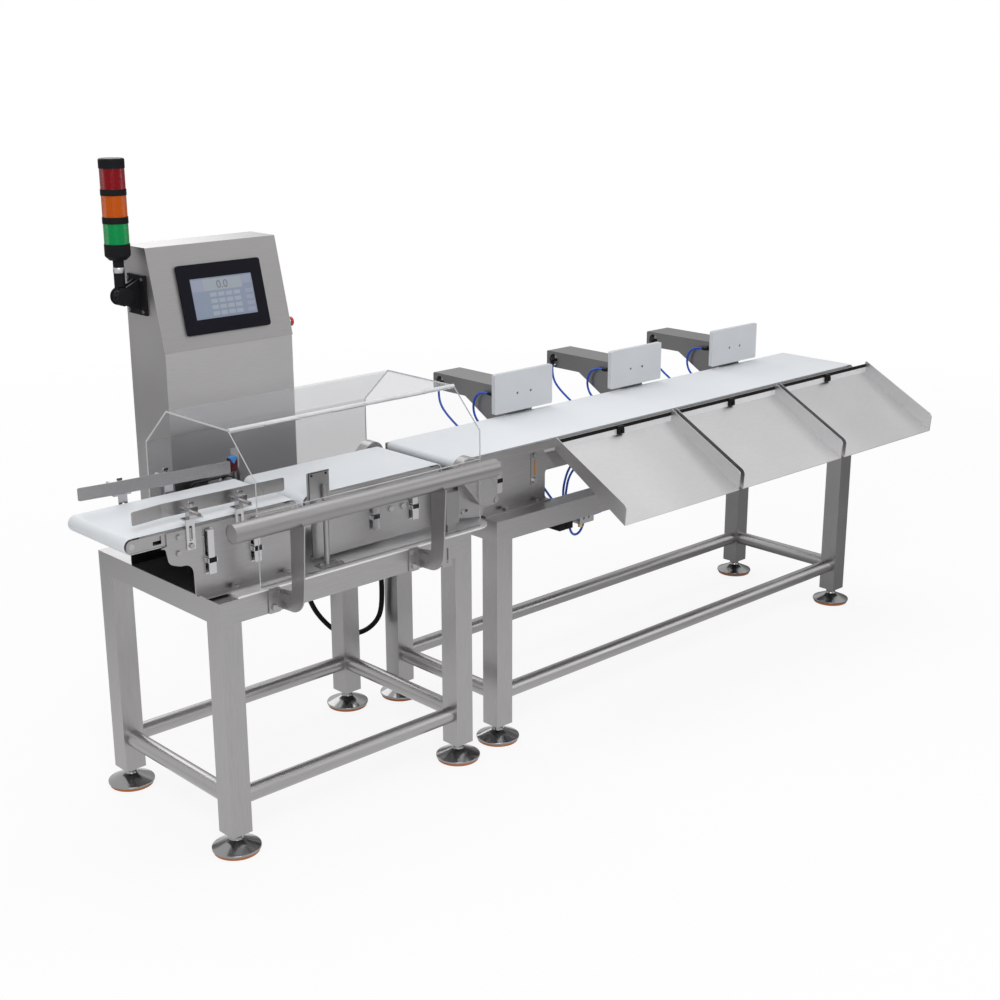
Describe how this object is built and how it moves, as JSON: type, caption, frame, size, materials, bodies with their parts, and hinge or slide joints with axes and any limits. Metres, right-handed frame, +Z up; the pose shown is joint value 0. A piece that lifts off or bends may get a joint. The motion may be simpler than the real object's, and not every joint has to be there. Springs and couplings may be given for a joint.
{
  "type": "weight grading machine",
  "caption": "Belt checkweigher on tube stands: guide rails and clear cover over a weigh belt, slanted control cabinet, signal tower, and a sorting belt with air pushers and chutes.",
  "frame": {"origin": "on the floor, under the centre of the machine's footprint", "axes": "+X along the belts from infeed to sorting end, +Y from the chute side to the cabinet side, +Z up"},
  "size_m": [2.488, 0.7862, 1.4],
  "materials": {
    "brushed": "brushed stainless steel",
    "polished": "polished stainless steel",
    "black_paint": "satin black",
    "white_belt": "matte white belt",
    "alloy": "anodised",
    "black_plastic": "matte black",
    "white_plastic": "matte white",
    "orange_pad": "matte orange",
    "clear": "clear sheet",
    "screen": "gloss",
    "red_lens": "ribbed lens",
    "amber_lens": "ribbed lens",
    "green_lens": "ribbed lens",
    "red_button": "gloss red",
    "blue_hose": "gloss blue",
    "black_cable": "matte black"
  },
  "bodies": {
    "machine": {"stand_legs": "brushed", "top_frames": "brushed", "lower_rails": "brushed", "foot_pads": "orange_pad", "levelling_feet": "polished", "deck_plate": "brushed", "base_tray": "black_paint", "infeed_belt": "white_belt", "infeed_bed": "brushed", "infeed_side_plates": "brushed", "weigh_belt": "white_belt", "weigh_bed": "brushed", "weigh_side_plates": "brushed", "load_cell": "alloy", "sorting_belt": "white_belt", "sorting_bed": "brushed", "sorting_side_plates": "brushed", "rail_brackets": "brushed", "reflector": "brushed", "photo_eye": "black_plastic", "cover_panels": "clear", "guard_tube": "brushed", "guard_brackets": "brushed", "hmi_panel": "screen", "cabinet_body": "brushed", "cabinet_stand": "brushed", "control_gear": "black_plastic", "tower_mount": "black_plastic", "pusher_arms": "brushed", "pusher_cylinders": "alloy", "chutes": "brushed", "fasteners": "polished", "drives": "black_plastic", "valve_block": "alloy", "air_hoses_1": "blue_hose", "air_hoses_2": "blue_hose", "air_hoses_3": "blue_hose", "power_cable": "black_cable"},
    "infeed_nose": {"infeed_nose_roller": "alloy"},
    "infeed_drive": {"infeed_drive_roller": "alloy"},
    "weigh_nose": {"weigh_nose_roller": "alloy"},
    "weigh_drive": {"weigh_drive_roller": "alloy"},
    "sorting_drive": {"sorting_drive_roller": "alloy"},
    "sorting_tail": {"sorting_tail_roller": "alloy"},
    "front_guide": {"guide_rail_front": "brushed"},
    "rear_guide": {"guide_rail_rear": "brushed"},
    "pusher_1": {"paddle_1": "white_plastic"},
    "pusher_2": {"paddle_2": "white_plastic"},
    "pusher_3": {"paddle_3": "white_plastic"},
    "flap": {"cover_flap": "clear"},
    "tower": {"tower_pole": "black_plastic", "tower_housings": "black_plastic", "lens_green": "green_lens", "lens_amber": "amber_lens", "lens_red": "red_lens"},
    "door": {"cabinet_door": "brushed"},
    "button": {"stop_button": "red_button"},
    "infeed_latch": {"infeed_latch_levers": "polished"},
    "weigh_latch": {"weigh_latch_levers": "polished"},
    "sorting_latch": {"sorting_latch_lever": "polished"}
  },
  "joints": [
    {"name": "infeed_drive_spin", "type": "hinge", "parent": "machine", "child": "infeed_drive", "pos_m": [-0.847, -0.03886, 0.705], "axis": [0, 1, 0], "continuous": true},
    {"name": "infeed_nose_spin", "type": "hinge", "parent": "machine", "child": "infeed_nose", "pos_m": [-1.227, -0.03886, 0.705], "axis": [0, 1, 0], "continuous": true},
    {"name": "weigh_drive_spin", "type": "hinge", "parent": "machine", "child": "weigh_drive", "pos_m": [-0.444, -0.03886, 0.705], "axis": [0, 1, 0], "continuous": true},
    {"name": "weigh_nose_spin", "type": "hinge", "parent": "machine", "child": "weigh_nose", "pos_m": [-0.802, -0.03886, 0.705], "axis": [0, 1, 0], "continuous": true},
    {"name": "sorting_drive_spin", "type": "hinge", "parent": "machine", "child": "sorting_drive", "pos_m": [-0.3825, -0.03886, 0.7095], "axis": [0, 1, 0], "continuous": true},
    {"name": "sorting_tail_spin", "type": "hinge", "parent": "machine", "child": "sorting_tail", "pos_m": [1.1685, -0.03886, 0.7095], "axis": [0, 1, 0], "continuous": true},
    {"name": "front_guide_slide", "type": "slide", "parent": "machine", "child": "front_guide", "axis": [0, 1, 0], "range_m": [-0.014, 0.022]},
    {"name": "rear_guide_slide", "type": "slide", "parent": "machine", "child": "rear_guide", "axis": [0, -1, 0], "range_m": [0, 0.043]},
    {"name": "pusher_1_slide", "type": "slide", "parent": "machine", "child": "pusher_1", "axis": [0, -1, 0], "range_m": [0, 0.2]},
    {"name": "pusher_2_slide", "type": "slide", "parent": "machine", "child": "pusher_2", "axis": [0, -1, 0], "range_m": [0, 0.2]},
    {"name": "pusher_3_slide", "type": "slide", "parent": "machine", "child": "pusher_3", "axis": [0, -1, 0], "range_m": [0, 0.2]},
    {"name": "flap_hinge", "type": "hinge", "parent": "machine", "child": "flap", "pos_m": [-0.661, -0.10586, 0.883], "axis": [-1, 0, 0], "range_deg": [0, 110]},
    {"name": "tower_fold", "type": "hinge", "parent": "machine", "child": "tower", "pos_m": [-0.939, 0.33114, 1.103], "axis": [0, -1, 0], "range_deg": [0, 90]},
    {"name": "door_hinge", "type": "hinge", "parent": "machine", "child": "door", "pos_m": [-0.548, 0.38014, 0.888], "axis": [0, 0, -1], "range_deg": [0, 110]},
    {"name": "button_press", "type": "slide", "parent": "machine", "child": "button", "axis": [-1, 0, 0], "range_m": [0, 0.004], "stiffness_N_per_m": 400},
    {"name": "infeed_latch_hinge", "type": "hinge", "parent": "machine", "child": "infeed_latch", "pos_m": [-1.001, -0.15786, 0.642], "axis": [-1, 0, 0], "range_deg": [0, 110]},
    {"name": "weigh_latch_hinge", "type": "hinge", "parent": "machine", "child": "weigh_latch", "pos_m": [-0.578, -0.15786, 0.641], "axis": [-1, 0, 0], "range_deg": [0, 110]},
    {"name": "sorting_latch_hinge", "type": "hinge", "parent": "machine", "child": "sorting_latch", "pos_m": [-0.243, -0.13786, 0.641], "axis": [-1, 0, 0], "range_deg": [0, 110]}
  ],
  "couplings": [
    {"joint": "infeed_nose_spin", "follows": "infeed_drive_spin", "ratio": 1},
    {"joint": "weigh_nose_spin", "follows": "weigh_drive_spin", "ratio": 1},
    {"joint": "sorting_tail_spin", "follows": "sorting_drive_spin", "ratio": 1}
  ]
}
